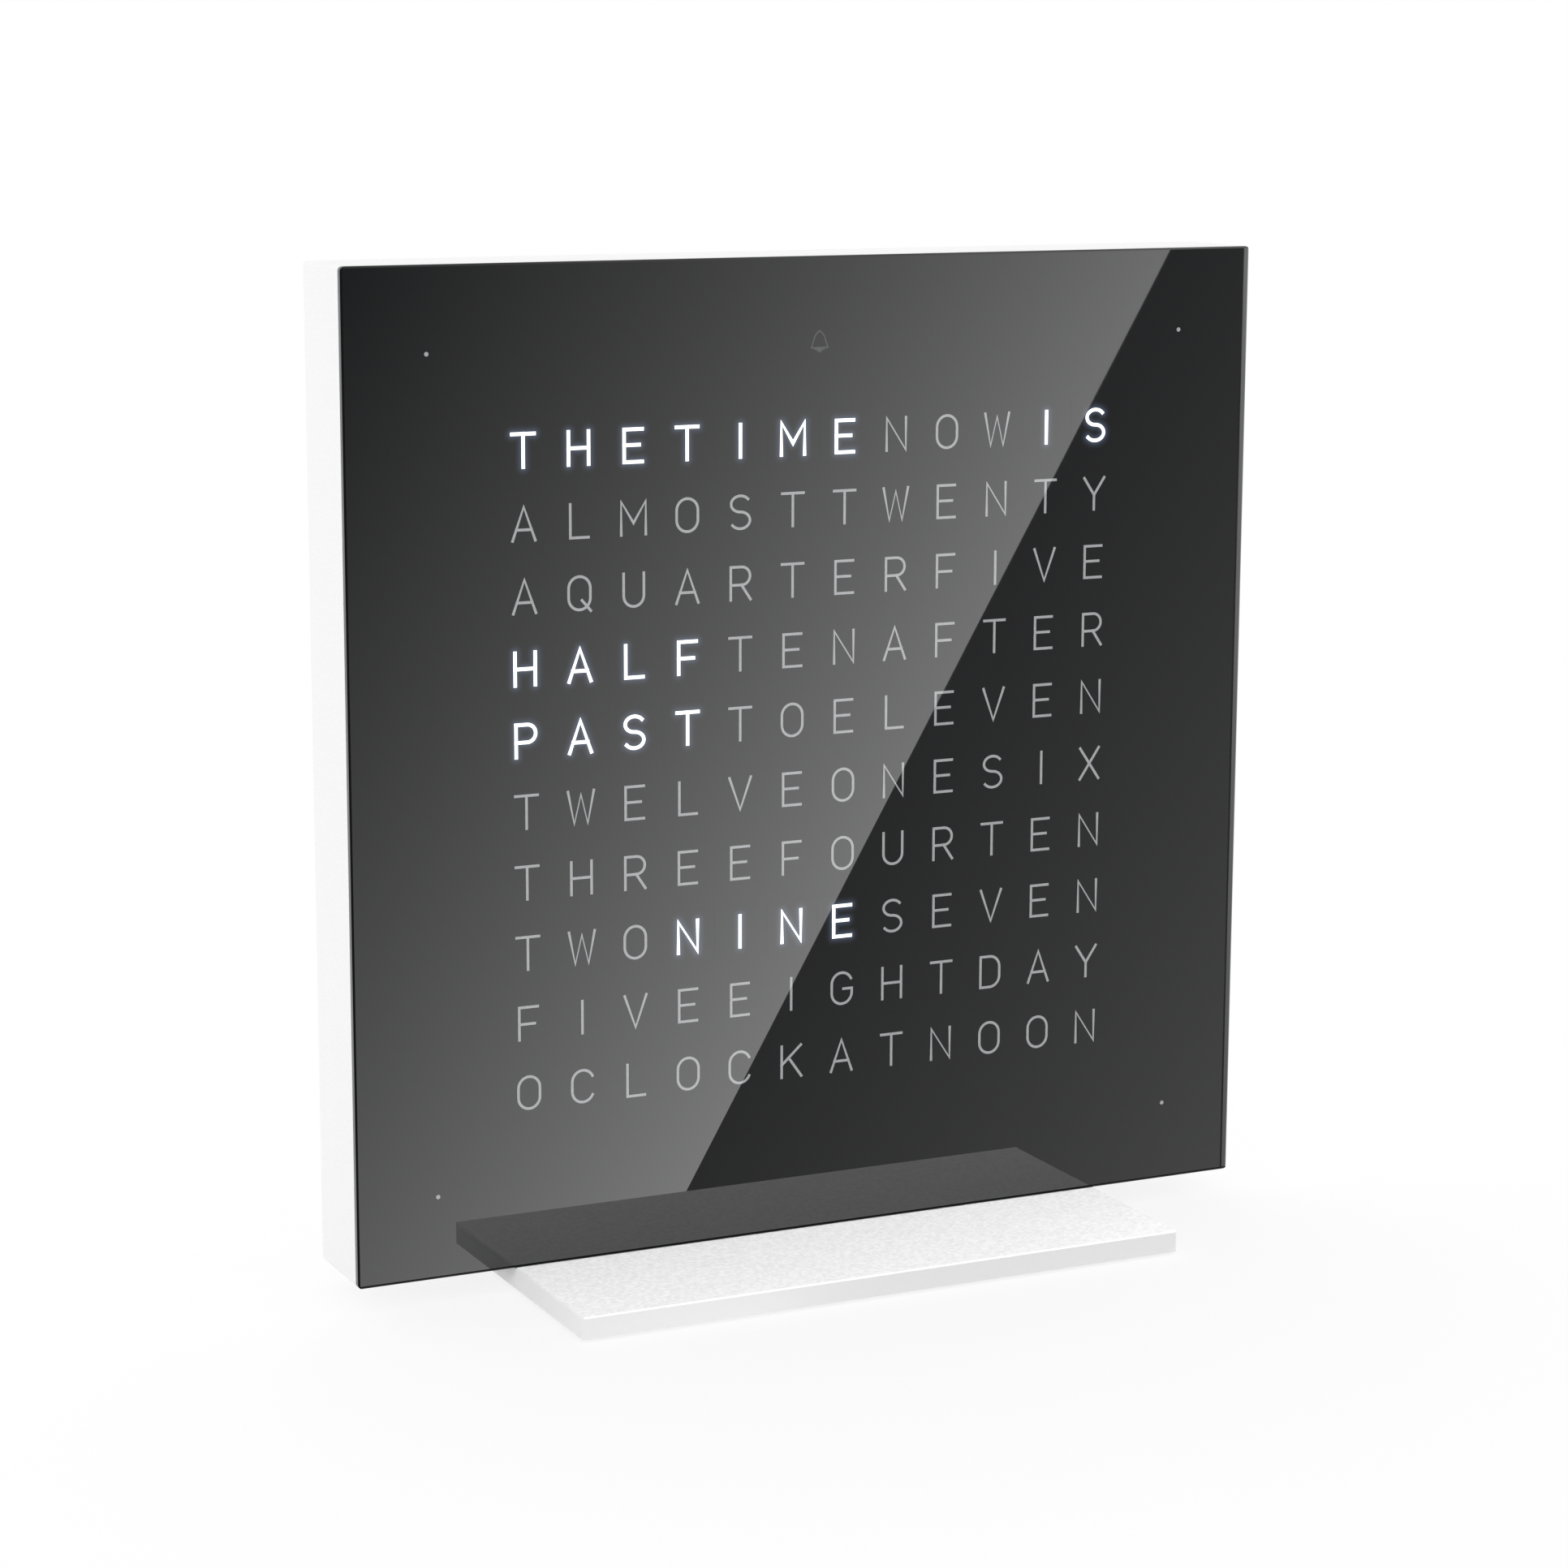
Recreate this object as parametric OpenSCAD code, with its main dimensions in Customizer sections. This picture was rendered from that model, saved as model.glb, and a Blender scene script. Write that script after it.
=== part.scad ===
// Table clock that tells the time in lit words: a shallow square case with a gloss
// front that pulls off, a grid of light cells behind it, and a flat metal foot.
// Millimetres. +X is to the right, +Y to the back and +Z up. The origin is on the
// table, in the middle of the object's outline seen from above.

/* [Case] */
// Width and height of the square case
case_w = 135; // [128:1:160]
// Thickness of the four side walls
wall_t = 2; // [1.8:0.1:2.6]
// Thickness of the thin rim that is left round the back cover
rim_t = 1; // [0.8:0.1:1.2]
// Radius of the case's four outer corners
corner_r = 0.6; // [0.3:0.1:1.2]
// Bevel round the rear edge of the case
rear_bevel = 0.5; // [0.2:0.1:0.7]
// Width of the inner ledge that the diffuser seats against
ledge_w = 1.5; // [1.2:0.1:2.5]
// Thickness of that ledge
ledge_t = 1; // [0.8:0.1:1.6]
// Depth of the space for the parts behind the board
rear_space = 3.5; // [3.5:0.1:6]
// Thickness of the back cover
back_t = 1.5; // [1.5:0.1:2.5]

/* [Front cover] */
// How far the cover's edge stands in from the case's edge
cover_inset = 0; // [0:0.05:0.4]
// Thickness of the cover at its visible edge
cover_edge_t = 1; // [0.8:0.1:1.5]
// Thickness of the cover's middle, which steps into the case
cover_t = 2.4; // [2.2:0.1:3.2]
// Bevel round the cover's front edge
front_bevel = 0.25; // [0.1:0.05:0.5]
// Thickness of the light mask on the cover's back
mask_t = 0.2; // [0.1:0.05:0.4]
// Width of the plain margin between the mask and the case's edge
mask_margin = 9.1; // [9:0.1:10]
// Diameter of the holding magnets
magnet_d = 5; // [4:0.1:5.2]
// Thickness of the magnets in the cover
cover_magnet_t = 1.2; // [0.8:0.1:1.4]
// Thickness of the magnets in the case
rim_magnet_t = 2; // [1:0.1:2.5]

/* [Letter field] */
// Letters in each row
columns = 12; // [8:1:13]
// Rows of letters
rows = 10; // [6:1:11]
// Distance between letters along a row
pitch_x = 7.8; // [7:0.1:8.2]
// Distance between rows
pitch_z = 9.6; // [8:0.1:9.8]
// Height of a letter
letter_h = 4.8; // [3:0.1:5.6]
// Width of the widest letter
letter_w = 4; // [2.5:0.1:5]
// Distance of the corner dots from the case's edges
dot_inset = 11.4; // [10.8:0.1:12]
// Diameter of a corner dot
dot_d = 0.6; // [0.4:0.1:1]
// Width and height of the alarm sign's window
sign_w = 3.6; // [2.5:0.1:4]

/* [Light box] */
// Thickness of the opal diffuser
diffuser_t = 0.8; // [0.5:0.1:1.5]
// Depth of the light cells
cell_d = 4.1; // [3:0.1:6]
// Thickness of a cell wall at its front edge
cell_wall = 0.9; // [0.6:0.1:1.2]
// Front diameter of the light tubes for the dots and the sign
tube_d = 4.4; // [3.9:0.1:4.8]
// Depth of the skin over the hollows of the grid's border
border_skin = 1; // [0.8:0.1:1.6]
// Thickness of the border's ribs
rib_t = 1.2; // [0.8:0.1:1.6]
// Hollows along each side of the border
border_hollows = 7; // [4:1:9]

/* [Electronics] */
// Thickness of the circuit board
board_t = 1.2; // [0.8:0.1:1.6]
// Width and height of a light-emitting diode
led_w = 2.8; // [2:0.1:3]
// Depth of a light-emitting diode
led_h = 1.1; // [0.6:0.1:1.4]
// Width of a driver chip
driver_w = 7; // [5:0.1:8]
// Legs along each side of a driver chip
driver_legs = 6; // [4:1:8]
// Distance of the driver chips beside the middle
driver_side = 24; // [16:1:30]
// Distance between the upper and the lower driver chips
driver_rise = 42; // [30:1:46]
// Width of the microcontroller
controller_w = 10; // [7:0.1:12]
// Legs along each side of the microcontroller
controller_legs = 8; // [6:1:12]
// Length of the chips' legs
leg_len = 1; // [0.6:0.1:1.4]
// Thickness of the chips' legs
leg_t = 0.3; // [0.2:0.1:0.5]
// Height of the microcontroller, the cell and the sounder above the middle
chip_row = 12; // [8:1:14]
// Height of the chips
chip_h = 1; // [0.8:0.1:1.6]
// Diameter of the clock crystal's can
crystal_d = 2; // [1.5:0.1:3]
// Length of the clock crystal's can
crystal_len = 6; // [5:0.1:8]
// Length of the smoothing capacitor
capacitor_len = 7.3; // [6:0.1:9]
// Width of the smoothing capacitor
capacitor_w = 4.3; // [3.2:0.1:5]
// Height of the smoothing capacitor
capacitor_h = 2.8; // [2:0.1:3.1]
// Distance of the capacitor beside and below the middle
capacitor_side = 42; // [38:1:46]
// Diameter of the coin cell
cell_coin_d = 12.5; // [10:0.1:16]
// Thickness of the coin cell
cell_coin_t = 2; // [1.6:0.1:2.2]
// Thickness of the coin cell holder's wall
holder_wall = 1.2; // [0.8:0.1:1.5]
// Thickness of the coin cell holder's floor
holder_floor = 0.6; // [0.4:0.1:0.8]
// Distance of the coin cell and of the sounder beside the middle
coin_side = 44; // [40:1:48]
// Diameter of the alarm sounder
sounder_d = 12; // [9:0.1:14]
// Height of the alarm sounder
sounder_h = 2.9; // [2:0.1:3.1]
// Diameter of the sound holes
sound_hole_d = 1.4; // [1:0.1:1.8]
// Width of the power socket's shell
socket_w = 9; // [8.9:0.1:9.4]
// Height of the power socket's shell
socket_h = 3.4; // [3.3:0.1:3.8]
// Depth of the power socket's shell
socket_d = 7.2; // [6.6:0.1:7.6]
// Sheet thickness of the power socket's shell
socket_shell_t = 0.3; // [0.2:0.05:0.4]
// Distance of the power socket beside the middle
socket_side = 46; // [42:1:48]
// Height of the power socket above the clock's lower edge
socket_rise = 12.5; // [11.5:0.1:14]
// How far the power socket's mouth is sunk into the back cover
socket_sink = 0.4; // [0.2:0.1:0.8]
// Thickness of the power socket's floor
socket_floor = 0.8; // [0.5:0.1:1]
// Thickness of the power socket's contact tongue
tongue_t = 0.7; // [0.5:0.1:0.9]
// Length of the touch strip under the top wall
touch_len = 70; // [40:1:100]
// Gap between the touch strip and the board, and between the strip and the back cover
touch_gap = 0.4; // [0.3:0.1:0.6]
// Width of the touch strip's flat cable
cable_w = 6; // [4:0.5:8]
// Distance of the cable beside the middle
cable_side = 20; // [10:1:26]
// Distance of the cable's socket below the top wall
cable_drop = 12; // [10:1:15]
// Width of the cable's socket
cable_socket_w = 9; // [8:0.5:11]
// Height of the cable's socket
cable_socket_h = 4; // [3:0.5:5]
// Depth of the cable's socket
cable_socket_t = 1.4; // [1:0.1:2]
// Thickness of the touch strip and of its flat cable
touch_t = 0.3; // [0.2:0.05:0.4]

/* [Keys] */
// Diameter of a key
key_d = 6; // [4.5:0.1:7]
// How far a key stands out of the back cover
key_proud = 0.8; // [0.5:0.1:1.5]
// Travel of a key
key_travel = 0.4; // [0.2:0.05:0.45]
// Distance between the keys
key_pitch = 14; // [12:0.1:18]
// Depth of the keys below the middle
key_drop = 38; // [34:1:42]
// Depth of the finger dish in a key
dish_t = 0.3; // [0.1:0.1:0.4]
// Width of the rim round the finger dish
dish_rim = 0.6; // [0.4:0.1:1]
// Thickness of the flange that keeps a key in
key_flange_t = 0.8; // [0.5:0.1:0.9]
// How much wider than the key its flange is, all round
key_flange_w = 1.2; // [0.8:0.1:1.8]
// Width of a key switch
switch_w = 6; // [5:0.1:7]
// Height of a key switch
switch_h = 2; // [1.6:0.1:2.1]
// Diameter of a switch plunger
plunger_d = 3.5; // [2.5:0.1:3.8]

/* [Foot] */
// Width of the foot plate
foot_w = 90; // [80:1:110]
// How far the foot reaches in front of the clock's front face
foot_reach = 23.3; // [20:0.1:35]
// How far the foot reaches behind the front face
foot_rear = 15; // [15:0.1:35]
// Thickness of the foot plate
foot_t = 3; // [2.8:0.1:5]
// Radius of the foot's corners
foot_corner_r = 0.5; // [0.2:0.1:3]
// Bevel round the foot's top edge
foot_bevel = 0.2; // [0.1:0.1:0.5]
// Diameter of the non-slip pads
pad_d = 8; // [6:0.1:10]
// Thickness of the non-slip pads
pad_t = 1; // [0.8:0.1:1.4]
// How far the pads stand out of the foot
pad_proud = 0.4; // [0.2:0.1:0.6]
// Distance of the pads' middles from the foot's edges
pad_inset = 6.5; // [5.5:0.1:9]

/* [Fasteners] */
// Diameter of the foot screws
foot_screw_d = 3; // [2.5:0.1:3.2]
// Outer diameter of the brass inserts for the foot screws
insert_d = 4.2; // [4:0.1:4.6]
// Length of those inserts
insert_len = 5; // [4:0.1:5.5]
// Height of the foot screws' heads
foot_screw_head = 1.6; // [1.2:0.1:1.8]
// Diameter of the four screws that hold the back cover
back_screw_d = 2.5; // [2:0.1:2.6]
// Length of those screws
back_screw_len = 7; // [5:0.1:8]
// Height of those screws' heads
back_screw_head = 1.2; // [0.9:0.1:1.3]
// Diameter of the six screws that hold the circuit board
board_screw_d = 2; // [1.6:0.1:2.2]
// Length of those screws under the head
board_screw_len = 5; // [4:0.1:5.5]
// Height of those screws' heads
board_screw_head = 1; // [0.8:0.1:1.4]
// Distance of the side board screws above and below the middle
board_screw_rise = 32; // [20:1:40]

/* [Walls inside the case] */
// Wall round the magnets in the corner posts
post_wall = 1.1; // [0.9:0.1:1.4]
// How far the corner posts sink into the side walls
post_sink = 0.3; // [0.2:0.1:0.5]
// Wall round the board screws in their bosses
boss_wall = 1.6; // [1.2:0.1:1.8]
// How far those bosses sink into the side walls
boss_sink = 0.4; // [0.3:0.1:0.6]
// Wall round and above the brass inserts of the foot
insert_wall = 2; // [1.6:0.1:2.2]
// How far a screw's hole is deeper than the screw
hole_spare = 0.5; // [0.3:0.1:0.8]
// Depth of the board under the sunk tip of a switch plunger
switch_floor = 0.5; // [0.3:0.1:0.8]

/* [Clearances] */
// Gap between the pulled-on cover's step and the case walls
cover_gap = 0.3; // [0.15:0.05:0.5]
// Gap between the cover and the case's front rim
seat_gap = 0.1; // [0.05:0.05:0.2]
// Air between the mask and the ledge
air_gap = 0.3; // [0.2:0.05:0.6]
// Gap round the diffuser, the grid and the board
stack_gap = 0.3; // [0.15:0.05:0.5]
// Gap between a diode and its cell, all round
led_gap = 0.6; // [0.4:0.1:0.8]
// Gap round the back cover
back_gap = 0.15; // [0.1:0.05:0.2]
// Radial gap between a key and its hole, and a plunger and its bore
key_gap = 0.15; // [0.1:0.05:0.3]
// Gap between a resting key's flange and the back cover
key_rest_gap = 0.1; // [0.05:0.05:0.1]
// Radial gap of a glued-in magnet or pad, and of a screw in its thread
glue_gap = 0.05; // [0.02:0.01:0.1]
// Gap between a foot screw's head and the pad beside it
head_pad_gap = 1.5; // [0.8:0.1:3]
// Radial gap of a screw in a plain hole
screw_gap = 0.2; // [0.1:0.05:0.3]

/* [Hidden] */
$fn = 64;

// Small amount by which a cut passes the face that it opens
cut = 1;
// Height of the middle of the front face
face_z = pad_proud + foot_t + case_w / 2;
// Inner faces of the case walls, from the middle
inside = case_w / 2 - wall_t;

// Layers from the front face to the back
case_front = cover_edge_t + seat_gap;
mask_back = cover_t + mask_t;
ledge_front = mask_back + air_gap;
diffuser_front = ledge_front + ledge_t;
grid_front = diffuser_front + diffuser_t;
board_front = grid_front + cell_d;
board_back = board_front + board_t;
back_front = board_back + rear_space;
case_back = back_front + back_t;
// Where the front face's plane lies along Y. All depths count from that plane.
face_y = (foot_reach - max(foot_rear, case_back + key_proud)) / 2;

// Corner posts: magnets in front and the back cover's screws behind
post_r = magnet_d / 2 + post_wall;
post_xz = inside - post_r - post_sink;
corners = [[-1, -1], [1, -1], [1, 1], [-1, 1]];
posts = [for (c = corners) post_xz * c];

// Bosses on the walls for the board screws
boss_r = board_screw_d / 2 + boss_wall;
boss_xz = inside - boss_r + boss_sink;
bosses = [[0, boss_xz], [0, -boss_xz], for (c = corners) [c[0] * boss_xz, c[1] * board_screw_rise]];

// Blocks on the bottom wall for the foot screws
foot_block_w = insert_d + 2 * insert_wall;
foot_block_h = insert_len + hole_spare + insert_wall - wall_t;
foot_screw_y = (ledge_front + back_front) / 2;
foot_screw_x = foot_w / 2 - pad_inset - pad_d / 2 - foot_screw_d - head_pad_gap;
foot_screws_x = [-foot_screw_x, foot_screw_x];

// Letter cells, corner dots and the alarm sign
field_w = columns * pitch_x + cell_wall;
field_h = rows * pitch_z + cell_wall;
cell_x = [for (i = [0 : columns - 1]) (i - (columns - 1) / 2) * pitch_x];
cell_z = [for (j = [0 : rows - 1]) (j - (rows - 1) / 2) * pitch_z];
dot_xz = case_w / 2 - dot_inset;
tubes = concat([for (c = corners) dot_xz * c], [[0, dot_xz]]);
led_room = led_w + 2 * led_gap;

// Places behind the board, from the middle of the face
controller_at = [0, chip_row];
drivers_at = [for (c = corners) [c[0] * driver_side, chip_row + c[1] * driver_rise / 2]];
crystal_at = [controller_w / 2 + leg_len + 3.5 * crystal_d, chip_row];
capacitor_at = [capacitor_side, -capacitor_side];
coin_at = [coin_side, chip_row];
sounder_at = [-coin_side, chip_row];
socket_at = [socket_side, -case_w / 2 + socket_rise];
cable_at = [cable_side, inside - cable_drop];
keys_z = -key_drop;
keys_x = [for (i = [0 : 3]) (i - 1.5) * key_pitch];

// Depths of the power socket, and width of the touch strip
socket_back = case_back - socket_sink;
touch_w = rear_space - 2 * touch_gap;

// Places a flat outline, drawn in X and Z from the middle of the face, between two depths.
module slab(y0, y1) {
  translate([0, face_y + y1, face_z]) rotate([90, 0, 0]) linear_extrude(y1 - y0) children();
}

// A round bar along Y between two depths, at a place given from the middle of the face.
module bar(d, y0, y1, at = [0, 0], d2 = undef) {
  translate([at[0], face_y + y0, face_z + at[1]]) rotate([-90, 0, 0])
    cylinder(h = y1 - y0, d1 = d, d2 = is_undef(d2) ? d : d2);
}

// Flat square with round corners.
module round_square(w, r) {
  square([w, w - 2 * r], center = true);
  square([w - 2 * r, w], center = true);
  for (c = corners) translate((w / 2 - r) * c) circle(r);
}

// Flat rectangle with half-round ends.
module stadium(w, h) {
  square([w - h, h], center = true);
  for (s = [-1, 1]) translate([s * (w - h) / 2, 0]) circle(d = h);
}

// Square slab whose edge is bevelled all round on its outer face.
module bevelled_slab(w, r, y_inner, y_outer, bevel) {
  step = y_outer > y_inner ? bevel : -bevel;
  half = w / 2;
  profile = [[-half, y_inner], [half, y_inner], [half, y_outer - step], [half - bevel, y_outer],
    [-half + bevel, y_outer], [-half, y_outer - step]];
  intersection() {
    translate([0, face_y, face_z]) linear_extrude(w + cut, center = true) polygon(profile);
    translate([0, face_y, face_z]) rotate([0, 90, 0])
      linear_extrude(w + cut, center = true) polygon(profile);
    slab(min(y_inner, y_outer) - cut, max(y_inner, y_outer) + cut) round_square(w, r);
  }
}

// Mirrors a shape drawn in the upper right corner into another corner.
module into_corner(c) {
  mirror([c[0] < 0 ? 1 : 0, 0]) mirror([0, c[1] < 0 ? 1 : 0]) children();
}

// Outline of the corner posts, made larger all round by a gap for the parts that pass them.
module post_outlines(gap = 0) {
  r = post_r + gap;
  reach = inside - post_xz + cut;
  for (c = corners) into_corner(c) translate([post_xz, post_xz]) {
    circle(r);
    translate([0, -r]) square([reach, r + reach]);
    translate([-r, 0]) square([r + reach, reach]);
  }
}

// Outline of the two foot blocks, grown by a gap.
module foot_block_outlines(gap = 0) {
  for (x = foot_screws_x)
    translate([x - foot_block_w / 2 - gap, -inside - cut])
      square([foot_block_w + 2 * gap, foot_block_h + cut + gap]);
}

// Outline of the parts stacked in the case, clear of the posts and blocks.
module stack_outline(pass_bosses = true) {
  difference() {
    square(2 * (inside - stack_gap), center = true);
    post_outlines(stack_gap);
    foot_block_outlines(stack_gap);
    if (pass_bosses) for (b = bosses) translate(b) circle(boss_r + stack_gap);
  }
}

// ---- Front cover --------------------------------------------------------------------------

module front_cover() {
  color("#101114") difference() {
    union() {
      bevelled_slab(case_w - 2 * cover_inset, corner_r, cover_edge_t, 0, front_bevel);
      slab(cover_edge_t, cover_t) square(2 * (inside - cover_gap), center = true);
    }
    for (p = posts) bar(magnet_d + 2 * glue_gap, cover_t - cover_magnet_t, cover_t + cut, p);
  }
}

module light_mask() {
  color("#26272b") slab(cover_t, mask_back) difference() {
    square(case_w - 2 * mask_margin, center = true);
    for (x = cell_x, z = cell_z) translate([x, z]) square([letter_w, letter_h], center = true);
    for (c = corners) translate(dot_xz * c) circle(d = dot_d);
    translate([0, dot_xz]) square(sign_w, center = true);
  }
}

module cover_magnets() {
  color("#b9bcc0") for (p = posts) bar(magnet_d, cover_t - cover_magnet_t, cover_t, p);
}

// ---- Case -----------------------------------------------------------------------------------

module case_frame() {
  color("#f4f4f2") difference() {
    union() {
      difference() {
        bevelled_slab(case_w, corner_r, case_front, case_back, rear_bevel);
        slab(case_front - cut, case_back + cut) square(2 * inside, center = true);
      }
      slab(ledge_front, diffuser_front) difference() {
        square(2 * inside + rim_t, center = true);
        square(2 * (inside - ledge_w), center = true);
      }
      intersection() {
        slab(ledge_front, back_front) {
          post_outlines();
          foot_block_outlines();
        }
        slab(ledge_front, back_front) square(2 * inside + rim_t, center = true);
      }
      for (b = bosses) bar(2 * boss_r, ledge_front, board_front, b);
    }
    slab(back_front, case_back + cut) square(case_w - 2 * rim_t, center = true);
    for (p = posts) {
      bar(magnet_d + 2 * glue_gap, ledge_front - cut, ledge_front + rim_magnet_t, p);
      bar(back_screw_d + 2 * glue_gap, case_back - back_screw_len - hole_spare, back_front + cut, p);
    }
    for (b = bosses) bar(board_screw_d + 2 * glue_gap, board_front - board_screw_len, board_front + cut, b);
    for (x = foot_screws_x) translate([x, face_y + foot_screw_y, pad_proud + foot_t - cut])
      cylinder(h = cut + insert_len + hole_spare, d = insert_d);
  }
}

module rim_magnets() {
  color("#b9bcc0") for (p = posts) bar(magnet_d, ledge_front, ledge_front + rim_magnet_t, p);
}

module back_cover() {
  color("#f4f4f2") difference() {
    slab(back_front, case_back) square(case_w - 2 * rim_t - 2 * back_gap, center = true);
    for (p = posts) {
      bar(back_screw_d + 2 * screw_gap, back_front - cut, case_back + cut, p);
      bar(back_screw_d, case_back - back_screw_head, case_back, p, 2 * back_screw_d + 2 * screw_gap);
    }
    for (x = keys_x) bar(key_d + 2 * key_gap, back_front - cut, case_back + cut, [x, keys_z]);
    for (i = [0 : 6]) bar(sound_hole_d, back_front - cut, case_back + cut, sounder_at + sound_ring(i));
    slab(back_front - cut, case_back + cut) translate(socket_at)
      stadium(socket_w + 2 * stack_gap, socket_h + 2 * stack_gap);
  }
}

// One hole in the middle and six round it.
function sound_ring(i) = i == 0 ? [0, 0] : 2.2 * sound_hole_d * [cos(60 * i), sin(60 * i)];

// ---- Light box -------------------------------------------------------------------------------

module diffuser() {
  color("#eef1f4") slab(diffuser_front, grid_front) stack_outline();
}

// Depth profile of one funnel: wide at the front, as wide as the diode's room at the back.
module funnel_profile(front_w) {
  slope = (front_w - led_room) / 2 / cell_d;
  polygon([[-front_w / 2 - slope * cut, grid_front - cut], [front_w / 2 + slope * cut, grid_front - cut],
    [led_room / 2 - slope * cut, board_front + cut], [-led_room / 2 + slope * cut, board_front + cut]]);
}

// All letter funnels at once: upright wedges, one a column, crossed with level wedges, one a row.
module letter_funnels() {
  intersection() {
    for (x = cell_x) translate([x, face_y, face_z])
      linear_extrude(field_h, center = true) funnel_profile(pitch_x - cell_wall);
    for (z = cell_z) translate([0, face_y, face_z + z]) rotate([0, 90, 0])
      linear_extrude(field_w, center = true) funnel_profile(pitch_z - cell_wall);
  }
}

// Hollows in the border between the letter field and the case, one row along each side.
module border_hollows_outline() {
  half = inside - ledge_w - rib_t;
  difference() {
    square(2 * half, center = true);
    square([field_w + 2 * rib_t, field_h + 2 * rib_t], center = true);
    for (i = [0 : border_hollows]) {
      at = (i / border_hollows - 0.5) * 2 * half;
      translate([at, 0]) square([rib_t, 2 * half], center = true);
      translate([0, at]) square([2 * half, rib_t], center = true);
    }
    for (t = tubes) translate(t) circle(d = tube_d + 2 * rib_t);
    post_outlines(stack_gap + rib_t);
    foot_block_outlines(stack_gap + rib_t);
    for (b = bosses) translate(b) circle(boss_r + stack_gap + rib_t);
  }
}

module light_grid() {
  color("#e4e5e6") difference() {
    slab(grid_front, board_front) stack_outline();
    letter_funnels();
    for (t = tubes) bar(tube_d, grid_front - cut, board_front + cut, t);
    slab(grid_front + border_skin, board_front + cut) border_hollows_outline();
    slab(socket_back - socket_d - stack_gap, board_front + cut) translate(socket_at)
      square([socket_w + 2 * stack_gap, socket_h + 2 * stack_gap], center = true);
  }
}

// ---- Circuit board and what it carries ----------------------------------------------------------

module circuit_board() {
  color("#1f5b3a") difference() {
    slab(board_front, board_back) difference() {
      stack_outline(pass_bosses = false);
      translate(socket_at) square([socket_w + stack_gap, socket_h + stack_gap], center = true);
    }
    for (b = bosses) bar(board_screw_d + 2 * glue_gap, board_front - cut, board_back + cut, b);
  }
}

module leds() {
  color("#f6f2df") slab(board_front - led_h, board_front) {
    for (x = cell_x, z = cell_z) translate([x, z]) square(led_w, center = true);
    for (t = tubes) translate(t) square(led_w, center = true);
  }
}

// Chip with short legs along its four sides.
module chip(w, h, legs, at) {
  leg_pitch = w * 0.8 / (legs - 1);
  slab(board_back, board_back + h) translate(at) square(w, center = true);
  slab(board_back, board_back + leg_t) translate(at)
    for (side = [0 : 90 : 270], i = [0 : legs - 1])
      rotate(side) translate([w / 2, (i - (legs - 1) / 2) * leg_pitch - leg_pitch / 4])
        square([leg_len, leg_pitch / 2]);
}

module driver_chips() {
  color("#232427") for (p = drivers_at) chip(driver_w, chip_h, driver_legs, p);
}

module microcontroller() {
  color("#232427") chip(controller_w, chip_h, controller_legs, controller_at);
}

module clock_crystal() {
  color("#c3c6ca")
    translate([crystal_at[0], face_y + board_back + crystal_d / 2, face_z + crystal_at[1]])
    cylinder(h = crystal_len, d = crystal_d, center = true);
}

module capacitor() {
  color("#c98f2e") slab(board_back, board_back + capacitor_h) translate(capacitor_at)
    square([capacitor_len, capacitor_w], center = true);
}

// Round well, open on one side so that the cell slides out.
module coin_cell_holder() {
  well = cell_coin_d + 2 * stack_gap;
  color("#1d1e20") difference() {
    bar(well + 2 * holder_wall, board_back, board_back + holder_floor + cell_coin_t * 0.9, coin_at);
    bar(well, board_back + holder_floor, board_back + rear_space, coin_at);
    slab(board_back + holder_floor, board_back + rear_space)
      translate(coin_at + [0, well / 2]) square([cell_coin_d * 0.6, well], center = true);
  }
}

module coin_cell() {
  front = board_back + holder_floor;
  color("#c7cacd") bar(cell_coin_d, front, front + cell_coin_t, coin_at);
}

module alarm_sounder() {
  color("#1a1b1d") difference() {
    bar(sounder_d, board_back, board_back + sounder_h, sounder_at);
    bar(sound_hole_d, board_back + sounder_h / 2, board_back + sounder_h + cut, sounder_at);
  }
}

// Shell of the power socket, sunk through the board, with its contact tongue.
module power_socket() {
  color("#c3c6ca") {
    slab(socket_back - socket_d, socket_back) translate(socket_at) difference() {
      stadium(socket_w, socket_h);
      stadium(socket_w - 2 * socket_shell_t, socket_h - 2 * socket_shell_t);
    }
    slab(socket_back - socket_d, socket_back - socket_d + socket_floor) translate(socket_at)
      stadium(socket_w, socket_h);
    slab(socket_back - socket_d, socket_back - socket_floor) translate(socket_at)
      square([0.74 * socket_w, tongue_t], center = true);
  }
}

// Copper strip under the top wall that feels a tap on the case.
module touch_strip() {
  color("#c67c4b")
    translate([-touch_len / 2, face_y + board_back + touch_gap, face_z + inside - touch_t])
    cube([touch_len, touch_w, touch_t]);
}

// Flat cable from the strip down the back of the board.
module touch_cable() {
  top = inside - touch_t;
  bottom = cable_at[1] + cable_socket_h / 2;
  color("#d9a23a") translate([cable_at[0] - cable_w / 2, face_y, face_z]) rotate([90, 0, 90])
    linear_extrude(cable_w) polygon([[board_back, bottom], [board_back + touch_t, bottom],
      [board_back + touch_t, top - touch_t], [board_back + touch_w, top - touch_t],
      [board_back + touch_w, top], [board_back, top]]);
}

module cable_socket() {
  color("#efe9dc") slab(board_back, board_back + cable_socket_t) translate(cable_at)
    square([cable_socket_w, cable_socket_h], center = true);
}

// ---- Keys ----------------------------------------------------------------------------------------

// Depths of a key at rest
flange_back = back_front - key_rest_gap;
flange_front = flange_back - key_flange_t;
switch_back = board_back + switch_h;
plunger_bore_front = board_back + switch_floor;

module key_switches() {
  color("#303236") for (x = keys_x) difference() {
    slab(board_back, switch_back) translate([x, keys_z]) square(switch_w, center = true);
    bar(plunger_d + 2 * key_gap, plunger_bore_front, switch_back + cut, [x, keys_z]);
  }
}

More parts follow.
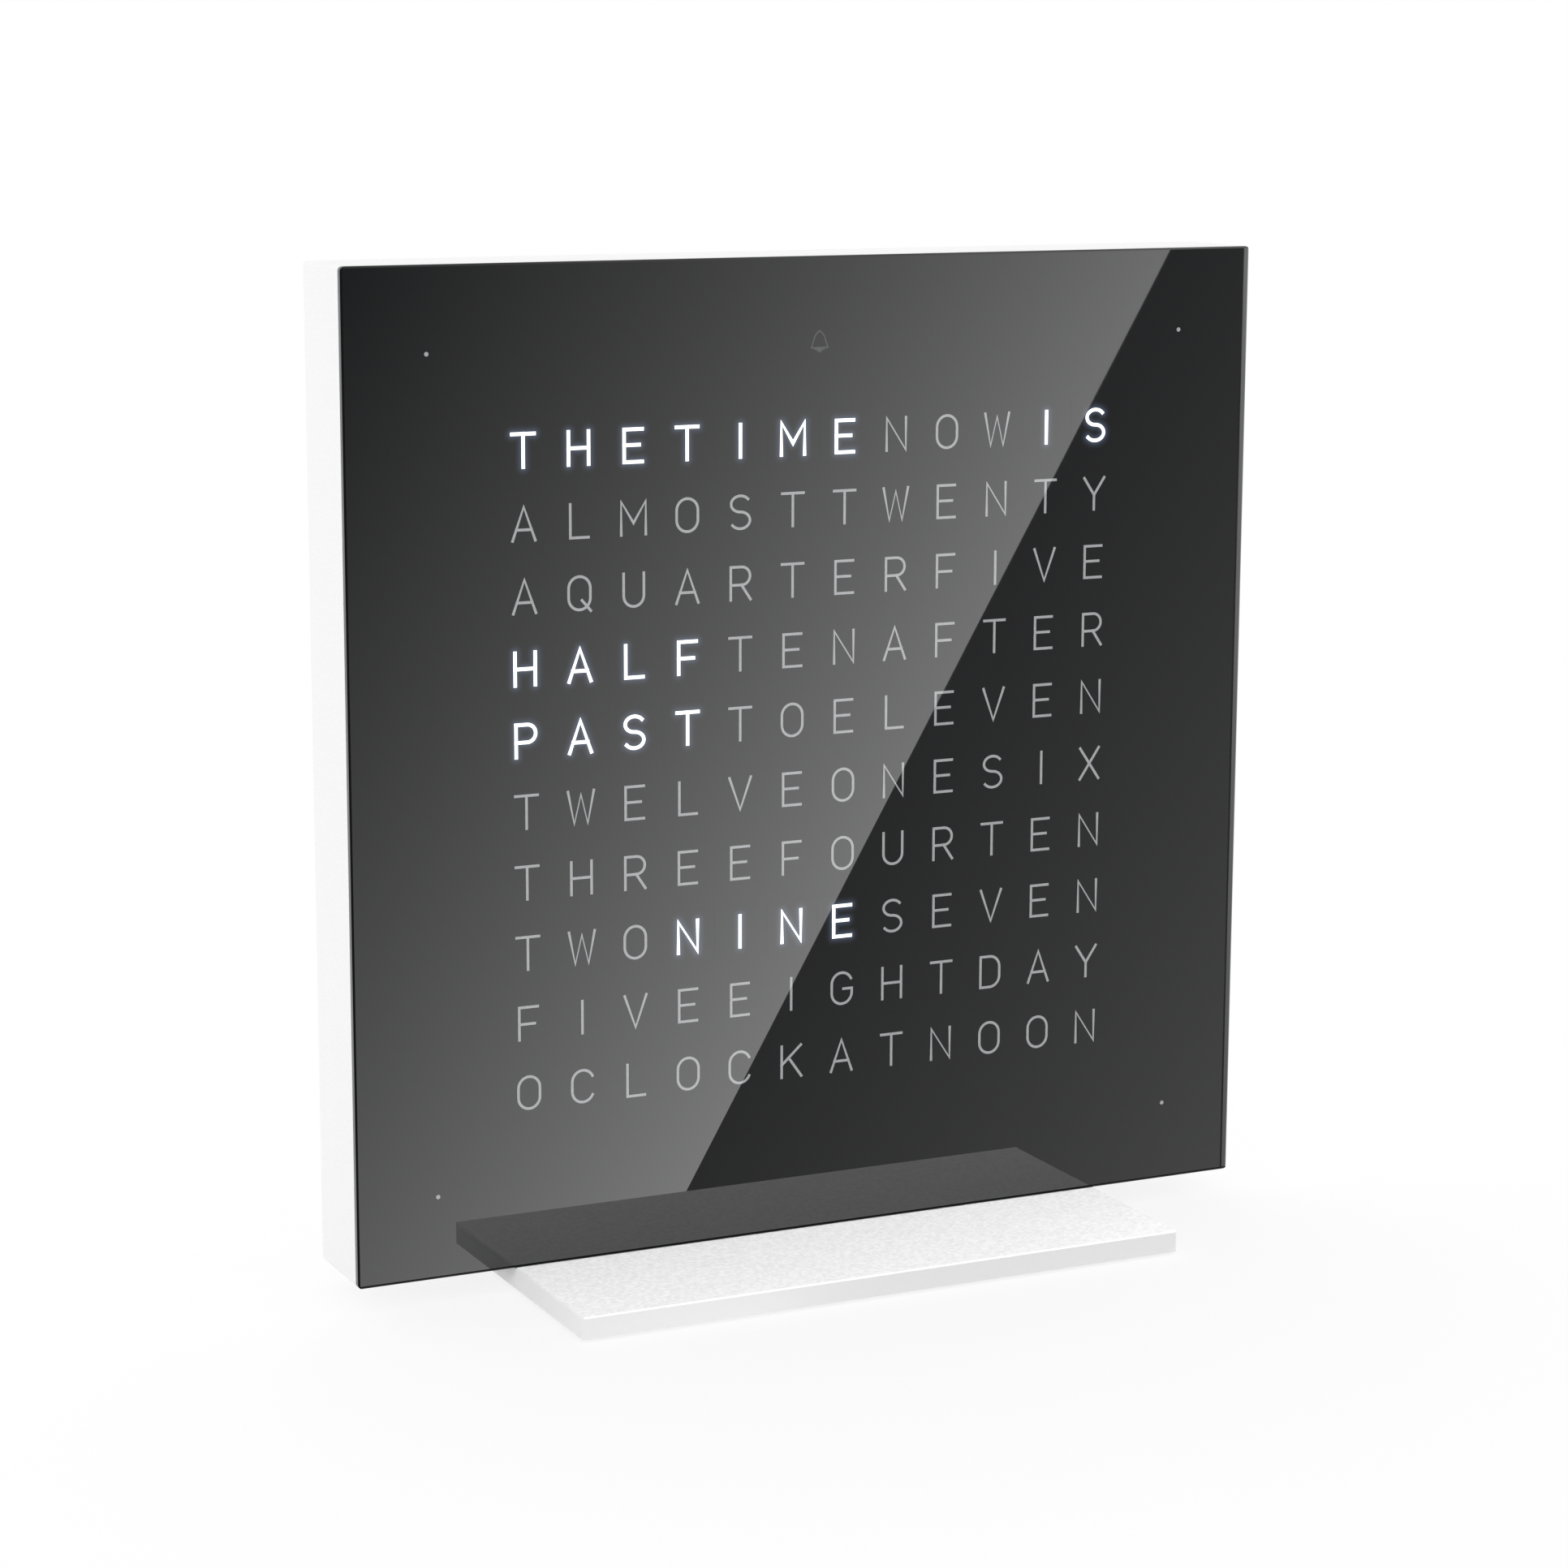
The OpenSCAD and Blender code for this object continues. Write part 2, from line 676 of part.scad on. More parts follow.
module plunger(i) {
  front = plunger_bore_front + key_travel + key_rest_gap;
  color("#17181a") bar(plunger_d, front, flange_front, [keys_x[i], keys_z]);
}

// Round key with a flange that holds it behind the back cover and a shallow finger dish.
module key(i) {
  at = [keys_x[i], keys_z];
  face = case_back + key_proud;
  color("#d8d9da") difference() {
    union() {
      bar(key_d + 2 * key_flange_w, flange_front, flange_back, at);
      bar(key_d, flange_back, face, at);
    }
    bar(key_d - 4 * dish_rim, face - dish_t, face, at, key_d - 2 * dish_rim);
    bar(key_d - 2 * dish_rim, face, face + cut, at);
  }
}

module key_hours() { key(0); }
module key_minutes() { key(1); }
module key_alarm() { key(2); }
module key_colour() { key(3); }
module plunger_hours() { plunger(0); }
module plunger_minutes() { plunger(1); }
module plunger_alarm() { plunger(2); }
module plunger_colour() { plunger(3); }

// ---- Fasteners -----------------------------------------------------------------------------------

// Cross-shaped driver recess, cut from one face of a head.
module cross_recess(d, y0, y1, at) {
  slab(y0, y1) translate(at) {
    square([d, d / 4], center = true);
    square([d / 4, d], center = true);
  }
}

module back_screws() {
  color("#8e9196") for (p = posts) difference() {
    union() {
      bar(back_screw_d, case_back - back_screw_len, case_back, p);
      bar(back_screw_d, case_back - back_screw_head, case_back, p, 2 * back_screw_d);
    }
    cross_recess(back_screw_d * 1.2, case_back - back_screw_head * 0.7, case_back + cut, p);
  }
}

module board_screws() {
  color("#8e9196") for (b = bosses) difference() {
    union() {
      bar(board_screw_d, board_back - board_screw_len, board_back, b);
      bar(board_screw_d * 1.8, board_back, board_back + board_screw_head, b);
    }
    cross_recess(board_screw_d, board_back + board_screw_head / 2, board_back + board_screw_head + cut, b);
  }
}

// ---- Foot ----------------------------------------------------------------------------------------

foot_d = foot_reach + foot_rear;
foot_mid = [0, face_y + (foot_rear - foot_reach) / 2];
foot_top = pad_proud + foot_t;
pads = [for (c = corners) foot_mid + [c[0] * (foot_w / 2 - pad_inset), c[1] * (foot_d / 2 - pad_inset)]];

module foot_plate() {
  color("#d3d4d5") difference() {
    translate(foot_mid) intersection() {
      bevelled_length(foot_w, foot_d);
      rotate([0, 0, 90]) bevelled_length(foot_d, foot_w);
      translate([0, 0, pad_proud]) linear_extrude(foot_t) {
        square([foot_w, foot_d - 2 * foot_corner_r], center = true);
        square([foot_w - 2 * foot_corner_r, foot_d], center = true);
        for (c = corners)
          translate([c[0] * (foot_w / 2 - foot_corner_r), c[1] * (foot_d / 2 - foot_corner_r)])
            circle(foot_corner_r);
      }
    }
    for (x = foot_screws_x) translate([x, face_y + foot_screw_y, pad_proud]) {
      translate([0, 0, -cut]) cylinder(h = foot_t + 2 * cut, d = foot_screw_d + 2 * screw_gap);
      cylinder(h = foot_screw_head, d1 = 2 * foot_screw_d + 2 * screw_gap, d2 = foot_screw_d + 2 * screw_gap);
    }
    for (p = pads) translate([p[0], p[1], pad_proud - cut])
      cylinder(h = cut + pad_t - pad_proud, d = pad_d + 2 * glue_gap);
  }
}

// Bar along Y of the foot's section, with its two long top edges bevelled.
module bevelled_length(w, len) {
  rotate([90, 0, 0]) linear_extrude(len + cut, center = true)
    polygon([[-w / 2, pad_proud], [w / 2, pad_proud], [w / 2, foot_top - foot_bevel],
      [w / 2 - foot_bevel, foot_top], [-w / 2 + foot_bevel, foot_top], [-w / 2, foot_top - foot_bevel]]);
}

module foot_screws() {
  color("#8e9196") for (x = foot_screws_x) translate([x, face_y + foot_screw_y, pad_proud]) difference() {
    union() {
      cylinder(h = foot_t + insert_len - hole_spare, d = foot_screw_d);
      cylinder(h = foot_screw_head, d1 = 2 * foot_screw_d, d2 = foot_screw_d);
    }
    translate([0, 0, -cut]) cylinder(h = cut + foot_screw_head * 0.7, d = foot_screw_d * 0.7, $fn = 6);
  }
}

module foot_inserts() {
  color("#c9a24a") for (x = foot_screws_x) translate([x, face_y + foot_screw_y, foot_top]) difference() {
    cylinder(h = insert_len, d = insert_d);
    translate([0, 0, -cut]) cylinder(h = insert_len + 2 * cut, d = foot_screw_d + 2 * glue_gap);
  }
}

module foot_pads() {
  color("#3a3b3d") for (p = pads) translate([p[0], p[1], 0]) cylinder(h = pad_t, d = pad_d);
}

front_cover();
light_mask();
cover_magnets();
case_frame();
rim_magnets();
diffuser();
light_grid();
circuit_board();
leds();
driver_chips();
microcontroller();
clock_crystal();
capacitor();
coin_cell_holder();
coin_cell();
alarm_sounder();
power_socket();
key_switches();
touch_strip();
touch_cable();
cable_socket();
plunger_hours();
plunger_minutes();
plunger_alarm();
plunger_colour();
key_hours();
key_minutes();
key_alarm();
key_colour();
board_screws();
back_cover();
back_screws();
foot_plate();
foot_screws();
foot_inserts();
foot_pads();
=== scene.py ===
"""Looks of a square table clock that tells the time in lit words.

The construction is loaded as a fixed frame. This file adds the letters, their glow, the
corner dots and the alarm sign, gives every part its finish, and sets up the studio.
"""

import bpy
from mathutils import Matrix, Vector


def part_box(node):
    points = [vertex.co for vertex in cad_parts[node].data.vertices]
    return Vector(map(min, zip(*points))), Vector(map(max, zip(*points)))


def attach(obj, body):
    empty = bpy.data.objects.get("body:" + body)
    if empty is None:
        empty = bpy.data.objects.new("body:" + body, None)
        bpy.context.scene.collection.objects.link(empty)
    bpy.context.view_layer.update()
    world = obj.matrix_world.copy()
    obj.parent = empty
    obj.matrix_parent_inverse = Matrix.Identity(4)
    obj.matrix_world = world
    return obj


bl_info = {
    "name": "Word Clock",
    "version": (1, 0, 0),
    "blender": (4, 5, 0),
    "location": "View3D > Sidebar > Word Clock",
    "description": "Letters, finishes and studio for a table clock that tells the time in words",
    "category": "Object",
}

import math

import bpy
import numpy as np
from mathutils import Matrix, Vector

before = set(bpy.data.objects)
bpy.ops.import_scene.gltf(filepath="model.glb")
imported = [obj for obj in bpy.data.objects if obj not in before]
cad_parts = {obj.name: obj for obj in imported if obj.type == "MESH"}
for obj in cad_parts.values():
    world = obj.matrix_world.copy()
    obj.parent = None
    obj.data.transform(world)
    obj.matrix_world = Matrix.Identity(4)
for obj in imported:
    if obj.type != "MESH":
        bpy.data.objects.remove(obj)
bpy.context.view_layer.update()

MM = 0.001
FACE_LOW, FACE_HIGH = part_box("front_cover")
FACE_MID = ((FACE_LOW.x + FACE_HIGH.x) / 2, FACE_LOW.y, (FACE_LOW.z + FACE_HIGH.z) / 2)
# How far the marks on the face reach into it, so that no gap shows behind them
MARK_ROOT = 0.02 * MM
# Each stroke of a letter stands this much higher than the last, so that no two tops coincide.
STROKE_STEP = 0.0015 * MM
HALO_HEIGHT = 0.008 * MM
# Half the bare strip between the glows of two letters
HALO_MARGIN = 0.1 * MM

# The letters of the face, row by row. The words in WORDS_LIT read "the time is half past nine".
ROWS = [
    "THETIMENOWIS",
    "ALMOSTTWENTY",
    "AQUARTERFIVE",
    "HALFTENAFTER",
    "PASTTOELEVEN",
    "TWELVEONESIX",
    "THREEFOURTEN",
    "TWONINESEVEN",
    "FIVEEIGHTDAY",
    "OCLOCKATNOON",
]
# Row, first column and last column of each lit word, counted from 0 at the top left
WORDS_LIT = [(0, 0, 2), (0, 3, 6), (0, 10, 11), (3, 0, 3), (4, 0, 3), (7, 3, 6)]


# ---- Settings --------------------------------------------------------------------------------


def length(name, description, millimetres):
    """A length property, given in millimetres and kept in metres."""
    return bpy.props.FloatProperty(
        name=name, description=description, default=millimetres * MM, unit="LENGTH", precision=5
    )


def colour(name, description, hex_value):
    """A colour property that holds an sRGB hex value."""
    return bpy.props.StringProperty(name=name, description=description, default=hex_value)


class WORDCLOCK_PG_letters(bpy.types.PropertyGroup):
    """Sizes of what is printed and lit on the face"""

    pitch_x: length("Letter pitch", "Distance between letters along a row", 7.8)
    pitch_z: length("Row pitch", "Distance between rows", 9.6)
    cap_height: length("Letter height", "Height of a letter, with its strokes", 4.8)
    stroke_plain: length("Plain stroke", "Stroke width of an unlit letter", 0.37)
    stroke_lit: length("Lit stroke", "Stroke width of a lit letter, with its spread of light", 0.48)
    proud: length("Print height", "How far the letters stand out of the face", 0.03)
    halo_reach: length("Halo reach", "How far the glow spreads round a lit stroke", 1.3)
    glow_level: bpy.props.FloatProperty(
        name="Glow level", description="Brightness of the glow at a lit stroke, where 1 is white",
        default=0.11,
    )
    halo_cell: length("Halo cell", "Distance between the points that carry the glow", 0.2)
    dot_diameter: length("Dot diameter", "Diameter of a corner dot", 0.6)
    dot_inset: length("Dot inset", "Distance of a corner dot from the case's edges", 11.4)
    sign_height: length("Sign height", "Height of the alarm sign", 3.0)
    sign_stroke: length("Sign stroke", "Stroke width of the alarm sign", 0.2)


class WORDCLOCK_PG_finishes(bpy.types.PropertyGroup):
    """Colours of the visible parts, as sRGB hex values"""

    acrylic: colour("Acrylic", "Body colour of the gloss front", "#0d0e10")
    letter: colour("Letter print", "Colour of an unlit letter", "#a6a7a9")
    light: colour("Letter light", "Colour of a lit letter", "#ffffff")
    glow: colour("Glow", "Colour of the light round a lit letter", "#b8d4ff")
    sign: colour("Sign print", "Colour of the alarm sign", "#4a4b4d")
    case: colour("Case", "Colour of the moulded case", "#f6f6f6")
    foot: colour("Foot", "Colour of the blasted foot", "#efefef")
    key: colour("Keys", "Colour of the keys on the back", "#d9dadb")


class WORDCLOCK_PG_stage(bpy.types.PropertyGroup):
    """Camera, light and reflections of the studio"""

    camera_place: bpy.props.FloatVectorProperty(
        name="Camera place", description="Camera's place from the middle of the face",
        default=(-0.2305, -0.4708, 0.0951), subtype="XYZ", unit="LENGTH",
    )
    camera_turn: bpy.props.FloatProperty(
        name="Camera turn", description="Turn of the view to the right",
        default=math.radians(25.585), subtype="ANGLE",
    )
    camera_tilt: bpy.props.FloatProperty(
        name="Camera tilt", description="Tilt of the view downwards",
        default=math.radians(10.750), subtype="ANGLE",
    )
    camera_roll: bpy.props.FloatProperty(
        name="Camera roll", description="Turn of the view round its own line",
        default=math.radians(0.174), subtype="ANGLE",
    )
    lens_mm: bpy.props.FloatProperty(
        name="Lens", description="Focal length in millimetres on a 36 mm sensor", default=89.3
    )
    world_level: bpy.props.FloatProperty(
        name="World level", description="Brightness of the light from all round", default=1.04
    )
    front_light_w: bpy.props.FloatProperty(
        name="Front light", description="Power of the soft light in front, in watts", default=0.2
    )
    foot_light_w: bpy.props.FloatProperty(
        name="Foot light", description="Power of the light on the foot's top, in watts", default=2.8
    )
    foot_side_light_w: bpy.props.FloatProperty(
        name="Foot side light", description="Power of the light on the foot's side, in watts",
        default=0.4,
    )


# ---- Mesh making -----------------------------------------------------------------------------


def make_piece(name, vertices, faces, body="front_cover"):
    """A mesh object at the origin from arrays of points and faces, riding on a CAD body."""
    mesh = bpy.data.meshes.new(name)
    mesh.from_pydata(vertices.tolist(), [], [list(face) for face in faces])
    mesh.update()
    mesh.shade_flat()
    piece = bpy.data.objects.new(name, mesh)
    bpy.context.scene.collection.objects.link(piece)
    if body:
        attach(piece, body)
    return piece


def merge(solids):
    """Points and faces of several solids as one.

    The faces of each solid count on from the points of the last.
    """
    vertices, faces, start = [], [], 0
    for points, polygons in solids:
        vertices.append(points)
        faces += [np.asarray(polygon) + start for polygon in polygons]
        start += len(points)
    return np.vstack(vertices), faces


def on_face(flat, depth):
    """Points in X and Z from the middle of the face, set a depth behind the face plane."""
    x = FACE_MID[0] + flat[..., 0]
    y = np.full(flat.shape[:-1], FACE_MID[1]) + depth
    return np.stack([x, y, FACE_MID[2] + flat[..., 1]], axis=-1)


def loft(loops, ring=False):
    """A closed solid through loops of equal size: quads between loops, one polygon at each end.

    loops[i, j] is point j of loop i. Seen from the first loop's side, the points run clockwise.
    A ring joins its last loop to its first and has no ends.
    """
    count, size = loops.shape[:2]
    i, j = np.meshgrid(np.arange(count if ring else count - 1), np.arange(size), indexing="ij")
    following, after = (i + 1) % count, (j + 1) % size
    quads = np.stack(
        [i * size + j, following * size + j, following * size + after, i * size + after], axis=-1
    )
    ends = [] if ring else [np.arange(size), np.arange(size)[::-1] + (count - 1) * size]
    return loops.reshape(-1, 3), [*quads.reshape(-1, 4), *ends]


def grid_quads(index):
    """The quads of a grid whose points are numbered in a table of rows and columns."""
    corners = [index[:-1, :-1], index[:-1, 1:], index[1:, 1:], index[1:, :-1]]
    return np.stack(corners, axis=-1).reshape(-1, 4)


# ---- Letters: smooth strokes in a box one unit high --------------------------------------------


def line(*points):
    """One path of straight strokes from point to point."""
    return [np.array(points, float)]


def arc(middle, radii, start, stop, steps=14):
    """Points on an ellipse: middle + radii * (cos, sin) of angles from start to stop in degrees."""
    turn = np.radians(np.linspace(start, stop, steps))
    return np.array(middle) + np.array(radii) * np.stack([np.cos(turn), np.sin(turn)], axis=-1)


def flow(*parts):
    """One smooth path through points and arcs that follow each other."""
    points = np.vstack([np.atleast_2d(np.array(part, float)) for part in parts])
    keep = np.r_[True, np.hypot(*np.diff(points, axis=0).T) > 1e-6]
    return [points[keep]]


# The smallest cosine of half a turn that a mitred corner follows
MITRE_LIMIT = 0.55
SIDE = 0.35
ROUND = (SIDE, SIDE)
UPPER, LOWER = 0.5 - SIDE, SIDE - 0.5
OVAL = flow(arc((0, UPPER), ROUND, 0, 180), arc((0, LOWER), ROUND, 180, 360), (SIDE, UPPER))
LOOP = flow((-0.32, 0.5), arc((0.05, 0.225), (0.275, 0.275), 90, -90), (-0.32, -0.05))
GLYPHS = {
    "A": line((-0.36, -0.5), (0, 0.5), (0.36, -0.5)) + line((-0.24, -0.18), (0.24, -0.18)),
    "C": flow(arc((0, UPPER), ROUND, 25, 180), arc((0, LOWER), ROUND, 180, 335)),
    "D": line((-0.34, -0.5), (-0.34, 0.5))
    + flow(
        (-0.34, 0.5), arc((-0.01, UPPER), ROUND, 90, 0),
        arc((-0.01, LOWER), ROUND, 0, -90), (-0.34, -0.5),
    ),
    "E": line((0.3, 0.5), (-0.3, 0.5), (-0.3, -0.5), (0.3, -0.5)) + line((-0.3, 0.02), (0.2, 0.02)),
    "F": line((0.3, 0.5), (-0.3, 0.5), (-0.3, -0.5)) + line((-0.3, -0.02), (0.2, -0.02)),
    "G": flow(arc((0, UPPER), ROUND, 25, 180), arc((0, LOWER), ROUND, 180, 360), (SIDE, -0.02))
    + line((SIDE, -0.02), (0.06, -0.02)),
    "H": line((-0.33, -0.5), (-0.33, 0.5)) + line((0.33, -0.5), (0.33, 0.5))
    + line((-0.33, 0), (0.33, 0)),
    "I": line((0, -0.5), (0, 0.5)),
    "K": line((-0.32, -0.5), (-0.32, 0.5)) + line((0.34, 0.5), (-0.32, -0.1))
    + line((-0.08, 0.12), (0.36, -0.5)),
    "L": line((-0.28, 0.5), (-0.28, -0.5), (0.3, -0.5)),
    "M": line((-0.4, -0.5), (-0.4, 0.5), (0, -0.15), (0.4, 0.5), (0.4, -0.5)),
    "N": line((-0.33, -0.5), (-0.33, 0.5), (0.33, -0.5), (0.33, 0.5)),
    "O": OVAL,
    "P": line((-0.32, -0.5), (-0.32, 0.5)) + LOOP,
    "Q": OVAL + line((0.08, -0.22), (0.36, -0.54)),
    "R": line((-0.32, -0.5), (-0.32, 0.5)) + LOOP + line((0.04, -0.05), (0.34, -0.5)),
    "S": flow(
        arc((0, 0.255), (0.31, 0.245), 35, 270, 18), arc((0, -0.245), (0.32, 0.255), 90, -145, 18)
    ),
    "T": line((-0.36, 0.5), (0.36, 0.5)) + line((0, 0.5), (0, -0.5)),
    "U": flow((-0.33, 0.5), arc((0, -0.17), (0.33, 0.33), 180, 360), (0.33, 0.5)),
    "V": line((-0.36, 0.5), (0, -0.5), (0.36, 0.5)),
    "W": line((-0.42, 0.5), (-0.22, -0.5), (0, 0.4), (0.22, -0.5), (0.42, 0.5)),
    "X": line((-0.34, 0.5), (0.34, -0.5)) + line((0.34, 0.5), (-0.34, -0.5)),
    "Y": line((-0.36, 0.5), (0, -0.04), (0.36, 0.5)) + line((0, -0.04), (0, -0.5)),
}

# A bell: sloping shoulders and flared sides, a thick rim, and the clapper as a wedge below it
BELL = (
    line((-0.42, -0.28), (-0.34, -0.1), (-0.25, 0.2), (-0.16, 0.34), (0, 0.48),
         (0.16, 0.34), (0.25, 0.2), (0.34, -0.1), (0.42, -0.28))
    + line((-0.42, -0.28), (0.42, -0.28))
    + line((-0.25, -0.34), (0.25, -0.34))
    + line((-0.12, -0.4), (0.12, -0.4))
    + line((-0.03, -0.46), (0.03, -0.46))
)


def stroke_solid(path, half, front, back):
    """A rib of square section along a flat path, with mitred corners and flat ends.

    At each point the rib reaches half the stroke's width, divided by the cosine of half the turn
    and limited for sharp turns, to both sides along the mean normal. The ends run on by the half
    width. A path that ends where it starts becomes a ring.
    """
    ring = np.allclose(path[0], path[-1])
    points = path[:-1] if ring else path.copy()
    heading = np.diff(path, axis=0)
    heading /= np.hypot(*heading.T)[:, None]
    if ring:
        before, after = np.roll(heading, 1, axis=0), heading
    else:
        points[0] -= heading[0] * half
        points[-1] += heading[-1] * half
        before, after = heading[np.r_[0, : len(heading)]], heading[np.r_[: len(heading), -1]]
    mean = before + after
    mean /= np.hypot(*mean.T)[:, None]
    reach = half / np.maximum((mean * after).sum(-1), MITRE_LIMIT)[:, None]
    normal = np.stack([-mean[:, 1], mean[:, 0]], axis=-1) * reach
    left, right = points + normal, points - normal
    section = [(left, front), (right, front), (right, back), (left, back)]
    loops = np.stack([on_face(side, depth) for side, depth in section], axis=1)
    return loft(loops, ring)


def placed(strokes, size, place):
    """Strokes scaled from the unit box and moved to their place on the face."""
    return [path * size + np.array(place) for path in strokes]


def letter_places(settings):
    """Every letter as (character, is it lit, its middle on the face)."""
    lit = {(row, column) for row, first, last in WORDS_LIT for column in range(first, last + 1)}
    for row, text in enumerate(ROWS):
        for column, character in enumerate(text):
            x = (column - (len(text) - 1) / 2) * settings.pitch_x
            z = ((len(ROWS) - 1) / 2 - row) * settings.pitch_z
            yield character, (row, column) in lit, (x, z)


def stroke_solids(strokes, stroke_width, proud):
    """A rib for each stroke of one letter or sign."""
    return [
        stroke_solid(path, stroke_width / 2, -proud - STROKE_STEP * k, MARK_ROOT)
        for k, path in enumerate(strokes)
    ]


def halo_sheet(strokes, half, reach, cell, middle, span):
    """A thin sheet round one letter and the glow at each of its points.

    The sheet is a grid on the face. The glow at a point is (1 - (d - h) / reach)^3, with d the
    distance to the nearest stroke and h its half width, from 1 on the stroke to 0 at the reach.
    """
    count_x, count_z = (int(round(2 * s / cell)) + 1 for s in span)
    x, z = np.meshgrid(*(np.linspace(-s, s, n) for s, n in zip(span, (count_x, count_z))))
    grid = np.stack([x, z], axis=-1) + np.array(middle)
    points = grid.reshape(-1, 1, 2)
    starts = np.vstack([path[:-1] for path in strokes])[None]
    runs = np.vstack([np.diff(path, axis=0) for path in strokes])[None]
    share = np.clip(((points - starts) * runs).sum(-1) / (runs**2).sum(-1), 0, 1)
    gap = np.linalg.norm(points - starts - share[..., None] * runs, axis=-1).min(1)
    glow = np.clip(1 - np.maximum(gap - half, 0) / reach, 0, 1) ** 3
    index = np.arange(count_x * count_z).reshape(count_z, count_x)
    quads = grid_quads(index)
    rim = np.r_[index[0, :-1], index[:-1, -1], index[-1, :0:-1], index[:0:-1, 0]]
    back = np.arange(len(rim)) + index.size
    skirt = np.stack([rim, back, np.roll(back, -1), np.roll(rim, -1)], axis=-1)
    flat = grid.reshape(-1, 2)
    vertices = np.vstack([on_face(flat, -HALO_HEIGHT), on_face(flat[rim], MARK_ROOT)])
    return vertices, [*quads, *skirt, back[::-1]], np.r_[glow, np.zeros(len(rim))]


# ---- Materials ---------------------------------------------------------------------------------


# A noise seldom leaves this span, so the two tones of a tint lie at its ends.
NOISE_SPAN = (0.35, 0.65)
THIN_INK, THIN_SIGN_INK = "#a0a1a3", "#454648"
# Height of the painted shade line along the lower edge of the face
PAINTED_SHADE_EDGE = 0.4 * MM
# The rays that show what the camera sees, straight or in gloss and glass
SEEN_RAYS = ("Is Camera Ray", "Is Glossy Ray", "Is Transmission Ray")


def srgb_to_linear(value):
    """The sRGB curve: value / 12.92 below 0.04045, else ((value + 0.055) / 1.055) ^ 2.4."""
    return np.where(value <= 0.04045, value / 12.92, ((value + 0.055) / 1.055) ** 2.4)


def linear(hex_value):
    """An sRGB hex value as a linear colour with alpha 1."""
    srgb = np.array([int(hex_value[k : k + 2], 16) for k in (1, 3, 5)]) / 255
    return (*srgb_to_linear(srgb), 1.0)


def add(tree, kind, links=(), **settings):
    """Adds a node, sets its sockets and properties, and links (socket, output) pairs into it."""
    node = tree.nodes.new(kind)
    for name, value in settings.items():
        if hasattr(node, name):
            setattr(node, name, value)
        else:
            node.inputs[name.replace("_", " ").title()].default_value = value
    for socket, output in links:
        tree.links.new(output, node.inputs[socket])
    return node


def new_material(name, hex_value, **settings):
    """A material with a Principled shader; returns it with its node tree and shader."""
    material = bpy.data.materials.new(name)
    material.use_nodes = True
    tree = material.node_tree
    shader = tree.nodes["Principled BSDF"]
    shader.inputs["Base Color"].default_value = linear(hex_value)
    for key, value in settings.items():
        shader.inputs[key.replace("_", " ").title().replace("Ior", "IOR")].default_value = value
    return material, tree, shader


def grain(tree, shader, size_mm, height_mm, detail=2.0, roughness=None):
    """Grain of a real size in Object coordinates: a bump, and a spread of roughness if asked."""
    place = add(tree, "ShaderNodeTexCoord")
    noise = add(
        tree, "ShaderNodeTexNoise", [("Vector", place.outputs["Object"])],
        Scale=1 / (size_mm * MM), Detail=detail,
    )
    bump = add(
        tree, "ShaderNodeBump", [("Height", noise.outputs["Fac"])],
        Strength=1.0, Distance=height_mm * MM,
    )
    tree.links.new(bump.outputs["Normal"], shader.inputs["Normal"])
    if roughness:
        low, high = roughness
        spread = add(
            tree, "ShaderNodeMapRange", [("Value", noise.outputs["Fac"])], To_Min=low, To_Max=high
        )
        tree.links.new(spread.outputs["Result"], shader.inputs["Roughness"])
    return noise


def tint(tree, shader, noise, hex_low, hex_high):
    """Varies the base colour between two close tones with a noise."""
    ramp = add(tree, "ShaderNodeValToRGB", [("Fac", noise.outputs["Fac"])])
    for stop, place, tone in zip(ramp.color_ramp.elements, NOISE_SPAN, (hex_low, hex_high)):
        stop.position, stop.color = place, linear(tone)
    tree.links.new(ramp.outputs["Color"], shader.inputs["Base Color"])
    return ramp


def painted_shade_lower_edge(tree, shader):
    """The lowest strip of the sheet mirrors next to nothing: a painted shade line that stands in
    for the shaded gap under the clock, as the lower bevel mirrors it.
    """
    place = add(tree, "ShaderNodeTexCoord")
    height = add(tree, "ShaderNodeSeparateXYZ", [(0, place.outputs["Object"])])
    sheet = add(tree, "ShaderNodeMath", [(0, height.outputs["Z"])], operation="GREATER_THAN")
    sheet.inputs[1].default_value = FACE_LOW.z + PAINTED_SHADE_EDGE
    level = add(
        tree, "ShaderNodeMapRange", [("Value", sheet.outputs["Value"])], To_Min=0.02, To_Max=0.5
    )
    tree.links.new(level.outputs["Result"], shader.inputs["Specular IOR Level"])


def polished_acrylic(name, hex_value):
    """Cast black acrylic, diamond polished: a deep black with a mirror-like skin."""
    material, tree, shader = new_material(name, hex_value, ior=1.8)
    # The sheet is flat to a few micrometres, so reflected edges stay straight.
    grain(tree, shader, 14, 0.0004, detail=1.0, roughness=(0.004, 0.012))
    return material, tree, shader


def letter_print(name, hex_value, hex_thin):
    """Screen print seen through the polished skin of the acrylic, with ink of uneven density."""
    material, tree, shader = polished_acrylic(name, hex_value)
    place = add(tree, "ShaderNodeTexCoord")
    # The mesh of the screen is about 0.1 mm; the drift in its ink is drawn at 0.5 mm to show.
    ink = add(
        tree, "ShaderNodeTexNoise", [("Vector", place.outputs["Object"])],
        Scale=1 / (0.5 * MM), Detail=2.0,
    )
    tint(tree, shader, ink, hex_thin, hex_value)
    return material


def moulded_abs(name, hex_value, hex_shade, grit_mm=0.35):
    """Injection-moulded ABS from a spark-eroded mould: satin, with a fine even grain."""
    material, tree, shader = new_material(name, hex_value, ior=1.53)
    noise = grain(tree, shader, grit_mm, 0.006, detail=3.0, roughness=(0.42, 0.55))
    tint(tree, shader, noise, hex_shade, hex_value)
    return material


